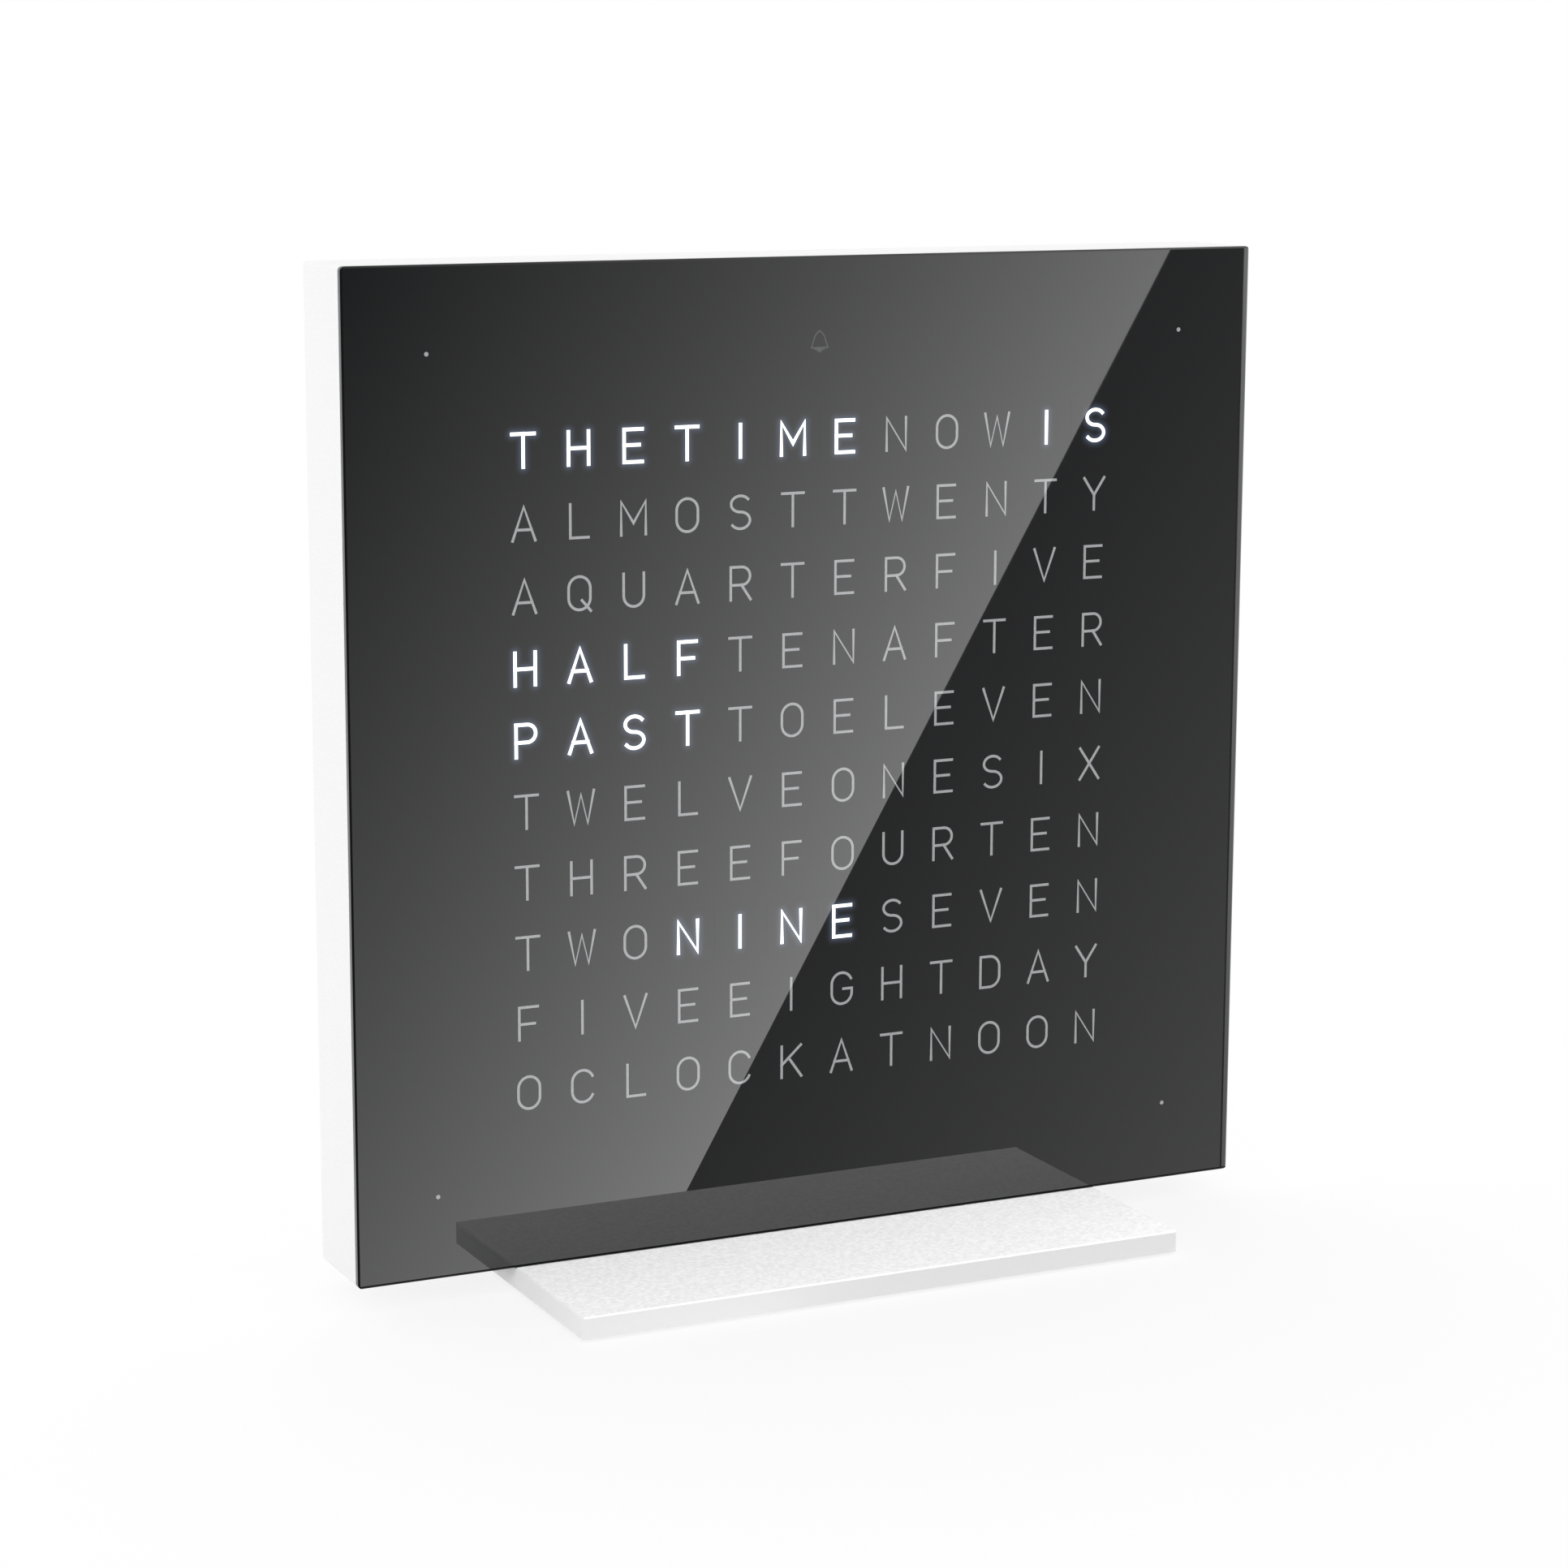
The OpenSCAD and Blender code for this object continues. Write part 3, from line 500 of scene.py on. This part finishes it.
def blasted_metal(name, hex_value, hex_shade, hex_painted_side_shade):
    """Bead-blasted and clear-anodised aluminium: matt, bright, with a sandy sparkle."""
    # The oxide layer over the dimples scatters most of the light, so little of it shows as metal.
    material, tree, shader = new_material(name, hex_value, metallic=0.15)
    noise = grain(tree, shader, 0.6, 0.022, detail=3.0, roughness=(0.58, 0.7))
    # Only the broad faces are blasted. The sides and chamfers take one even colour, a little darker
    # than the top: painted shade that tones down the brightly lit chamfer and sets the level of the
    # sides.
    place = add(tree, "ShaderNodeTexCoord")
    facing = add(tree, "ShaderNodeSeparateXYZ", [(0, place.outputs["Normal"])])
    broad = add(tree, "ShaderNodeMath", [(0, facing.outputs["Z"])], operation="ABSOLUTE")
    bump = next(node for node in tree.nodes if node.type == "BUMP")
    tree.links.new(broad.outputs["Value"], bump.inputs["Strength"])
    ramp = tint(tree, shader, noise, hex_shade, hex_value)
    mottle_and_painted_shade = add(
        tree, "ShaderNodeMixRGB",
        [("Fac", broad.outputs["Value"]), ("Color2", ramp.outputs["Color"])],
        Color1=linear(hex_painted_side_shade),
    )
    tree.links.new(mottle_and_painted_shade.outputs["Color"], shader.inputs["Base Color"])
    return material


def plain_metal(name, hex_value, roughness, streak_mm=0.6):
    """Plated or turned small metal part: rolled or turned streaks, fairly bright."""
    material, tree, shader = new_material(name, hex_value, metallic=1.0)
    grain(tree, shader, streak_mm, 0.002, roughness=(roughness * 0.8, roughness * 1.2))
    return material


def plain_dielectric(name, hex_value, hex_shade, roughness, grit_mm=0.3):
    """Small moulded, printed or resin part with a fine grain and a slight mottle."""
    material, tree, shader = new_material(name, hex_value, ior=1.5)
    noise = grain(tree, shader, grit_mm, 0.003, roughness=(roughness * 0.85, roughness * 1.15))
    tint(tree, shader, noise, hex_shade, hex_value)
    return material


def glowing_acrylic(name, hex_value, glow_hex, strength):
    """The polished acrylic where light spreads through it round a lit letter."""
    material, tree, shader = polished_acrylic(name, hex_value)
    shader.inputs["Emission Color"].default_value = linear(glow_hex)
    level = add(tree, "ShaderNodeAttribute", attribute_name="glow")
    scaled = add(tree, "ShaderNodeMath", [(0, level.outputs["Fac"])], operation="MULTIPLY")
    scaled.inputs[1].default_value = strength
    tree.links.new(scaled.outputs["Value"], shader.inputs["Emission Strength"])
    return material


# ---- Operators: pieces -------------------------------------------------------------------------


class WORDCLOCK_OT_letters(bpy.types.Operator):
    """Make the lit and unlit letters of the time words"""

    bl_idname = "wordclock.letters"
    bl_label = "Letters"

    def execute(self, context):
        sizes, colours = context.scene.wordclock_letters, context.scene.wordclock_finishes
        plain, lit = [], []
        for character, is_lit, middle in letter_places(sizes):
            stroke = sizes.stroke_lit if is_lit else sizes.stroke_plain
            strokes = placed(GLYPHS[character], sizes.cap_height - stroke, middle)
            (lit if is_lit else plain).extend(stroke_solids(strokes, stroke, sizes.proud))
        unlit = make_piece("letters_unlit", *merge(plain))
        unlit.data.materials.append(
            letter_print("Screen print under acrylic", colours.letter, THIN_INK)
        )
        shining = make_piece("letters_lit", *merge(lit))
        material, _, shader = polished_acrylic("Diffused LED light", "#e8eaec")
        shader.inputs["Emission Color"].default_value = linear(colours.light)
        shader.inputs["Emission Strength"].default_value = 1.0
        shining.data.materials.append(material)
        return {"FINISHED"}


class WORDCLOCK_OT_glow(bpy.types.Operator):
    """Make the faint glow in the acrylic round the lit letters"""

    bl_idname = "wordclock.glow"
    bl_label = "Glow"

    def execute(self, context):
        sizes, colours = context.scene.wordclock_letters, context.scene.wordclock_finishes
        half = sizes.stroke_lit / 2
        span = (sizes.pitch_x / 2 - HALO_MARGIN, sizes.cap_height / 2 + sizes.halo_reach)
        sheets, glows = [], []
        for character, is_lit, middle in letter_places(sizes):
            if is_lit:
                strokes = placed(GLYPHS[character], sizes.cap_height - sizes.stroke_lit, middle)
                *sheet, glow = halo_sheet(
                    strokes, half, sizes.halo_reach, sizes.halo_cell, middle, span
                )
                sheets.append(sheet)
                glows.append(glow)
        piece = make_piece("letter_glow", *merge(sheets))
        attribute = piece.data.attributes.new("glow", "FLOAT", "POINT")
        attribute.data.foreach_set("value", np.concatenate(glows).astype(np.float32))
        material = glowing_acrylic(
            "Acrylic with LED glow", colours.acrylic, colours.glow, sizes.glow_level
        )
        piece.data.materials.append(material)
        return {"FINISHED"}


class WORDCLOCK_OT_dots(bpy.types.Operator):
    """Make the four corner dots that count the minutes"""

    bl_idname = "wordclock.dots"
    bl_label = "Corner dots"

    def execute(self, context):
        sizes, colours = context.scene.wordclock_letters, context.scene.wordclock_finishes
        low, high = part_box("case_frame")
        place = (high.x - low.x) / 2 - sizes.dot_inset
        # Sixteen points, clockwise as seen from the front
        ring = arc((0, 0), (sizes.dot_diameter / 2,) * 2, 0, -337.5, 16)
        solids = []
        for side, level in ((-1, -1), (1, -1), (1, 1), (-1, 1)):
            flat = ring + np.array([side * place, level * place])
            solids.append(loft(np.stack([on_face(flat, -sizes.proud), on_face(flat, MARK_ROOT)])))
        piece = make_piece("minute_dots", *merge(solids))
        piece.data.materials.append(
            letter_print("Dot print under acrylic", colours.letter, THIN_INK)
        )
        return {"FINISHED"}


class WORDCLOCK_OT_sign(bpy.types.Operator):
    """Make the faint bell that shows when the alarm is set"""

    bl_idname = "wordclock.sign"
    bl_label = "Alarm sign"

    def execute(self, context):
        sizes, colours = context.scene.wordclock_letters, context.scene.wordclock_finishes
        low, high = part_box("case_frame")
        place = (0, (high.z - low.z) / 2 - sizes.dot_inset)
        strokes = placed(BELL, sizes.sign_height, place)
        solids = stroke_solids(strokes, sizes.sign_stroke, sizes.proud)
        piece = make_piece("alarm_sign", *merge(solids))
        piece.data.materials.append(
            letter_print("Sign print under acrylic", colours.sign, THIN_SIGN_INK)
        )
        return {"FINISHED"}


class WORDCLOCK_OT_finishes(bpy.types.Operator):
    """Give every part of the clock its finish"""

    bl_idname = "wordclock.finishes"
    bl_label = "Finishes"

    def execute(self, context):
        colours = context.scene.wordclock_finishes
        cover, tree, shader = polished_acrylic("Black polished acrylic", colours.acrylic)
        # The lower edge of the face is darkened to mirror next to nothing: a painted shade line.
        painted_shade_lower_edge(tree, shader)
        # The foot's last colour, on its sides and chamfers, is painted shade.
        foot = blasted_metal("Bead-blasted anodised aluminium", colours.foot, "#e1e1e1", "#e2e2e2")
        case = moulded_abs("White moulded ABS", colours.case, "#f1f1f1")
        keys = moulded_abs("Light grey moulded ABS", colours.key, "#d2d3d4", 0.25)
        epoxy = plain_dielectric("Black moulding epoxy", "#222326", "#1b1c1e", 0.5)
        steel = plain_metal("Tinned steel sheet", "#c6c9cc", 0.3)
        magnet = plain_metal("Nickel plate", "#d4d1cb", 0.16)
        screw = plain_metal("Zinc-plated steel", "#a9adb3", 0.34)
        finishes = {
            "front_cover": cover,
            "light_mask": plain_dielectric("Black printed film", "#161719", "#121314", 0.6),
            "cover_magnets": magnet,
            "rim_magnets": magnet,
            "case_frame": case,
            "back_cover": case,
            "diffuser": plain_dielectric("Opal acrylic sheet", "#eef1f4", "#e9edf1", 0.32, 1.2),
            "light_grid": plain_dielectric("White grid ABS", "#e6e7e8", "#dfe0e1", 0.5),
            "circuit_board": plain_dielectric("Green solder mask", "#1d5a38", "#164a2d", 0.28, 0.9),
            "leds": plain_dielectric("LED resin", "#f3ecc6", "#ece3b4", 0.3),
            "driver_chips": epoxy,
            "microcontroller": epoxy,
            "coin_cell_holder": epoxy,
            "alarm_sounder": epoxy,
            "key_switches": epoxy,
            "clock_crystal": steel,
            "coin_cell": steel,
            "power_socket": steel,
            "capacitor": plain_dielectric("Tantalum resin", "#c98a2b", "#bd7f25", 0.4),
            "touch_strip": plain_metal("Copper foil", "#cf8154", 0.32),
            "touch_cable": plain_dielectric("Amber polyimide", "#cf962f", "#c68c27", 0.2),
            "cable_socket": plain_dielectric("Natural nylon", "#ece5d6", "#e5ddcb", 0.45),
            "board_screws": screw,
            "back_screws": screw,
            "foot_screws": screw,
            "foot_inserts": plain_metal("Turned brass", "#d7b25c", 0.28),
            "foot_plate": foot,
            "foot_pads": plain_dielectric("Silicone rubber", "#37383a", "#303133", 0.75, 0.5),
        }
        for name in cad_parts:
            if name.startswith("plunger_"):
                finishes[name] = epoxy
            elif name.startswith("key_") and name != "key_switches":
                finishes[name] = keys
        for name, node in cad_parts.items():
            node.data.materials.clear()
            node.data.materials.append(finishes[name])
        return {"FINISHED"}


# ---- Operator: stage ---------------------------------------------------------------------------


def stage_object(name, vertices, faces, material):
    """A mesh that belongs to the studio, not to the clock."""
    piece = make_piece(name, vertices, faces, body=None)
    piece.data.materials.append(material)
    return piece


def sheet_grid(corners, counts):
    """A grid between the corners A, B below and C, D above, as points and quads.

    At the shares u and v the point is (1-u)(1-v) A + u(1-v) B + (1-u) v C + u v D.
    """
    u, v = np.meshgrid(np.linspace(0, 1, counts[0]), np.linspace(0, 1, counts[1]))
    shares = np.stack([(1 - u) * (1 - v), u * (1 - v), (1 - u) * v, u * v], axis=-1)
    index = np.arange(u.size).reshape(u.shape)
    return shares @ np.array(corners, float), grid_quads(index)


def mirrored_sheet(camera_place, corners, levels):
    """A sheet under the table that the gloss front mirrors into a given patch of the face.

    Each point p of a grid over the patch is carried along its mirrored line of sight, away from
    the mirrored camera c, down to the level of the sheet: p + (p - c) (p_z - level) / (c_z - p_z).
    The light is a plane of sRGB levels over the face, turned to linear, less the face's own
    light, and divided by the share that the face mirrors.
    """
    flat, quads = sheet_grid(np.array(corners) * MM, SHEET_POINTS)
    base, per_x, per_z = levels
    level = base + per_x * flat[..., 0] / MM + per_z * flat[..., 1] / MM
    level = np.clip(level, DARKEST_LEVEL, 255)
    light = (srgb_to_linear(level / 255) - FACE_OWN_LIGHT) / MIRRORED_SHARE
    patch = on_face(flat, 0)
    mirrored = np.array(FACE_MID) + np.array(camera_place) * [1, -1, 1]
    drop = (patch[..., 2:] - SHEET_LEVEL) / (mirrored[2] - patch[..., 2:])
    return (patch + (patch - mirrored) * drop).reshape(-1, 3), quads, light.ravel()


# Patches of the face in millimetres from its middle (lower left, lower right, upper left, upper
# right), each with its sRGB level at the middle of the face and the change per millimetre to the
# right and upwards: the bright half, the dark half, and a gap and a light line at the right edge.
REFLECTIONS = {
    "reflector_bright": (
        [(-240, -67.4), (-24.2, -67.4), (-160, 74.1), (58.5, 74.1)], (103.9, 0.636, -0.454)
    ),
    "reflector_dark": (
        [(-24.2, -67.4), (66.3, -67.4), (58.5, 74.1), (66.3, 74.1)], (35.2, 0.280, -0.204)
    ),
    "reflector_gap": ([(66.3, -67.4), (66.6, -67.4), (66.3, 74.1), (66.6, 74.1)], (38, 0, 0)),
    "reflector_line": ([(66.6, -67.4), (70, -67.4), (66.6, 74.1), (70, 74.1)], (95, 0, 0.17)),
}
SHEET_POINTS = (60, 60)
DARKEST_LEVEL = 18
# The light that the face scatters by its own body colour
FACE_OWN_LIGHT = 0.004
# An index of refraction of 1.8, as of a hard-coated gloss front, mirrors this share head-on.
MIRRORED_SHARE = 0.0816
# The sheets lie this far under the table top.
SHEET_LEVEL = -0.005
# Cards that the bevels of the front mirror: corners in metres and the light at each corner
CARDS = {
    "card_left": (
        [(-0.1, -0.07, -0.1), (-0.1, 0.03, -0.1), (-0.1, -0.07, 0.2), (-0.1, 0.03, 0.2)],
        (0.05, 0.05, 0.05, 0.05),
    ),
    "card_top": (
        [(-0.06, -0.06, 0.3), (0.2, -0.06, 0.3), (-0.06, 0.05, 0.3), (0.2, 0.05, 0.3)],
        (0.2, 1.0, 0.2, 1.0),
    ),
}
# Half the width of the table top, in metres
FLOOR_HALF = 6.0
# Diameter, place and aim of each lamp, in metres. The foot's lamps reach the foot alone.
LAMPS = {
    "front_light": (0.7, (-0.45, -0.35, 0.35), (0, 0, 0.05)),
    "foot_light": (0.25, (0.26, -0.13, 0.58), (0, -0.01, 0)),
    "foot_side_light": (0.05, (-0.4, -0.02, 0.03), (0, -0.01, 0)),
}


def light_path_mix(tree, first, second):
    """Mixes two shaders: the first one lights the scene, the second one is what is seen."""
    path = add(tree, "ShaderNodeLightPath")
    share = path.outputs[SEEN_RAYS[0]]
    for ray in SEEN_RAYS[1:]:
        total = add(
            tree, "ShaderNodeMath", [(0, share), (1, path.outputs[ray])], operation="MAXIMUM"
        )
        share = total.outputs["Value"]
    mix = add(tree, "ShaderNodeMixShader", [(0, share), (1, first), (2, second)])
    return mix.outputs["Shader"]


def floor_material():
    """White laminate table top, which the camera sees fade into the white background."""
    material, tree, shader = new_material("White laminate", "#fbfbfb", roughness=0.9)
    place = add(tree, "ShaderNodeTexCoord")
    distance = add(tree, "ShaderNodeVectorMath", [(0, place.outputs["Object"])], operation="LENGTH")
    fade = add(
        tree, "ShaderNodeMapRange", [("Value", distance.outputs["Value"])],
        interpolation_type="SMOOTHSTEP", From_Min=0.05, From_Max=0.3, To_Min=0.8,
    )
    white = add(tree, "ShaderNodeEmission", Strength=1.0)
    faded = add(
        tree, "ShaderNodeMixShader",
        [(0, fade.outputs["Result"]), (1, shader.outputs["BSDF"]), (2, white.outputs["Emission"])],
    )
    shown = light_path_mix(tree, shader.outputs["BSDF"], faded.outputs["Shader"])
    tree.links.new(shown, tree.nodes["Material Output"].inputs["Surface"])
    return material


class WORDCLOCK_OT_stage(bpy.types.Operator):
    """Make the floor, the light, the reflected sheets and the camera"""

    bl_idname = "wordclock.stage"
    bl_label = "Studio"

    def execute(self, context):
        settings = context.scene.wordclock_stage
        self.make_world(context.scene, settings)
        self.make_floor()
        self.make_sheets(settings)
        self.make_lights(settings)
        self.make_camera(context.scene, settings)
        context.scene.view_settings.view_transform = "Standard"
        return {"FINISHED"}

    def make_world(self, scene, settings):
        world = bpy.data.worlds.new("White studio")
        world.use_nodes = True
        tree = world.node_tree
        soft = tree.nodes["Background"]
        soft.inputs["Color"].default_value = (1, 1, 1, 1)
        soft.inputs["Strength"].default_value = settings.world_level
        seen = add(tree, "ShaderNodeBackground", Strength=1.0)
        seen.inputs["Color"].default_value = (1, 1, 1, 1)
        shown = light_path_mix(tree, soft.outputs["Background"], seen.outputs["Background"])
        tree.links.new(shown, tree.nodes["World Output"].inputs["Surface"])
        scene.world = world

    def make_floor(self):
        vertices = np.array([(-1, -1, 0), (1, -1, 0), (1, 1, 0), (-1, 1, 0)]) * FLOOR_HALF
        floor = stage_object("floor", vertices, [[0, 1, 2, 3]], floor_material())
        floor.visible_glossy = False

    def make_sheets(self, settings):
        material = bpy.data.materials.new("Gradient reflector sheet")
        material.use_nodes = True
        tree = material.node_tree
        tree.nodes.remove(tree.nodes["Principled BSDF"])
        level = add(tree, "ShaderNodeAttribute", attribute_name="light")
        emission = add(tree, "ShaderNodeEmission", [("Strength", level.outputs["Fac"])])
        surface = tree.nodes["Material Output"].inputs["Surface"]
        tree.links.new(emission.outputs["Emission"], surface)
        sheets = {
            name: mirrored_sheet(settings.camera_place, *values)
            for name, values in REFLECTIONS.items()
        }
        for name, (corners, lights) in CARDS.items():
            sheets[name] = (*sheet_grid(corners, (2, 2)), np.array(lights))
        for name, (vertices, faces, light) in sheets.items():
            sheet = stage_object(name, vertices.reshape(-1, 3), faces, material)
            attribute = sheet.data.attributes.new("light", "FLOAT", "POINT")
            attribute.data.foreach_set("value", light.astype(np.float32))
            sheet.visible_camera = False
            sheet.visible_diffuse = False
            sheet.visible_transmission = False
            sheet.visible_shadow = False

    def make_light(self, name, power):
        """A round soft lamp that the glossy parts don't mirror."""
        size, place, aim = LAMPS[name]
        data = bpy.data.lights.new(name, "AREA")
        data.shape, data.size, data.energy = "DISK", size, power
        lamp = bpy.data.objects.new(name, data)
        turn = (Vector(aim) - Vector(place)).to_track_quat("-Z", "Y").to_matrix().to_4x4()
        lamp.matrix_world = Matrix.Translation(place) @ turn
        lamp.visible_glossy = False
        bpy.context.scene.collection.objects.link(lamp)
        return lamp

    def make_lights(self, settings):
        self.make_light("front_light", settings.front_light_w)
        receivers = bpy.data.collections.new("foot_light_receivers")
        receivers.objects.link(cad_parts["foot_plate"])
        for name in ("foot_light", "foot_side_light"):
            lamp = self.make_light(name, getattr(settings, name + "_w"))
            lamp.light_linking.receiver_collection = receivers

    def make_camera(self, scene, settings):
        data = bpy.data.cameras.new("camera")
        data.lens = settings.lens_mm
        data.sensor_width = 36
        data.clip_start, data.clip_end = 0.01, 50
        camera = bpy.data.objects.new("camera", data)
        place = np.array(FACE_MID) + np.array(settings.camera_place)
        camera.matrix_world = (
            Matrix.Translation(place.tolist())
            @ Matrix.Rotation(-settings.camera_turn, 4, "Z")
            @ Matrix.Rotation(math.pi / 2 - settings.camera_tilt, 4, "X")
            @ Matrix.Rotation(settings.camera_roll, 4, "Z")
        )
        scene.collection.objects.link(camera)
        scene.camera = camera


# ---- Panel and registration --------------------------------------------------------------------


class WORDCLOCK_PT_panel(bpy.types.Panel):
    """Lists the steps that dress the clock, with their sizes and colours"""

    bl_idname = "WORDCLOCK_PT_panel"
    bl_label = "Word Clock"
    bl_space_type = "VIEW_3D"
    bl_region_type = "UI"
    bl_category = "Word Clock"

    def draw(self, context):
        for operator in OPERATORS:
            self.layout.operator(operator.bl_idname)
        for name in GROUPS:
            box = self.layout.box()
            group = getattr(context.scene, name)
            for key in group.__annotations__:
                box.prop(group, key)


GROUPS = {
    "wordclock_letters": WORDCLOCK_PG_letters,
    "wordclock_finishes": WORDCLOCK_PG_finishes,
    "wordclock_stage": WORDCLOCK_PG_stage,
}
OPERATORS = (
    WORDCLOCK_OT_letters,
    WORDCLOCK_OT_glow,
    WORDCLOCK_OT_dots,
    WORDCLOCK_OT_sign,
    WORDCLOCK_OT_finishes,
    WORDCLOCK_OT_stage,
)
CLASSES = (*GROUPS.values(), *OPERATORS, WORDCLOCK_PT_panel)


def register():
    for cls in CLASSES:
        bpy.utils.register_class(cls)
    for name, group in GROUPS.items():
        setattr(bpy.types.Scene, name, bpy.props.PointerProperty(type=group))


def unregister():
    for name in GROUPS:
        delattr(bpy.types.Scene, name)
    for cls in reversed(CLASSES):
        bpy.utils.unregister_class(cls)


def main():
    register()
    bpy.ops.wordclock.letters()
    bpy.ops.wordclock.glow()
    bpy.ops.wordclock.dots()
    bpy.ops.wordclock.sign()
    bpy.ops.wordclock.finishes()
    bpy.ops.wordclock.stage()


if __name__ == "__main__":
    main()
